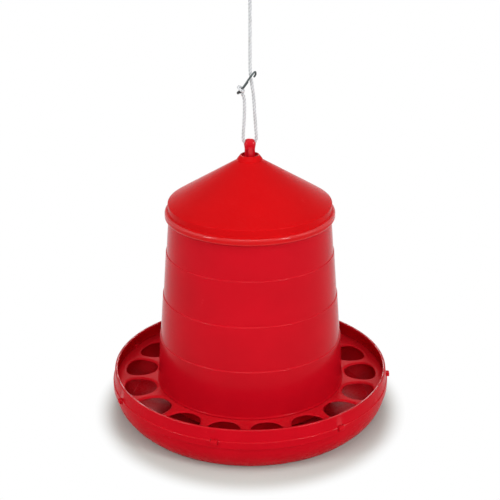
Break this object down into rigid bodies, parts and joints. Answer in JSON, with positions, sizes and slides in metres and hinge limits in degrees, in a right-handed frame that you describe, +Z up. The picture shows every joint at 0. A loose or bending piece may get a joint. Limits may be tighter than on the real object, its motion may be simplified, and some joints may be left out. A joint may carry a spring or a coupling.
{
  "type": "hanging poultry feeder",
  "caption": "Gravity feeder for poultry: tapered hopper with a cone lid over a round pan with a slotted ring, on a ribbed rod hung from an adjustable cord.",
  "frame": {"origin": "on the rod's axis, at the surface that the pan stands on", "axes": "+Z up along the hanger rod; -Y towards the viewer; the cord crosses the rod's eye roughly along X"},
  "size_m": [0.3896, 0.3863, 0.6522],
  "materials": {
    "feed_pan": "semi-gloss moulded",
    "anti_waste_ring": "semi-gloss moulded",
    "feed_hopper": "semi-gloss moulded",
    "hopper_bridge": "semi-gloss moulded",
    "hopper_lid": "semi-gloss moulded",
    "hanger_rod": "semi-gloss moulded",
    "level_pin": "bright zinc-plated wire",
    "hanging_cord": "twisted polypropylene",
    "cord_knot": "twisted polypropylene",
    "cord_top_loop": "twisted polypropylene",
    "cord_adjuster": "dull zinc-plated wire",
    "ceiling_hook": "zinc-plated wire"
  },
  "bodies": {
    "pan": {"feed_pan": "feed_pan", "anti_waste_ring": "anti_waste_ring", "hanger_rod": "hanger_rod", "hanging_cord": "hanging_cord", "cord_knot": "cord_knot", "cord_top_loop": "cord_top_loop", "cord_adjuster": "cord_adjuster", "ceiling_hook": "ceiling_hook"},
    "hopper": {"feed_hopper": "feed_hopper", "hopper_bridge": "hopper_bridge"},
    "lid": {"hopper_lid": "hopper_lid"},
    "pin": {"level_pin": "level_pin"}
  },
  "joints": [
    {"name": "hopper_lift", "type": "slide", "parent": "pan", "child": "hopper", "axis": [0, 0, 1], "range_m": [0, 0.015]},
    {"name": "lid_lift", "type": "slide", "parent": "hopper", "child": "lid", "axis": [0, 0, 1], "range_m": [0, 0.058]},
    {"name": "level_pin_pull", "type": "slide", "parent": "pan", "child": "pin", "axis": [1, 0, 0], "range_m": [0, 0.04]}
  ]
}
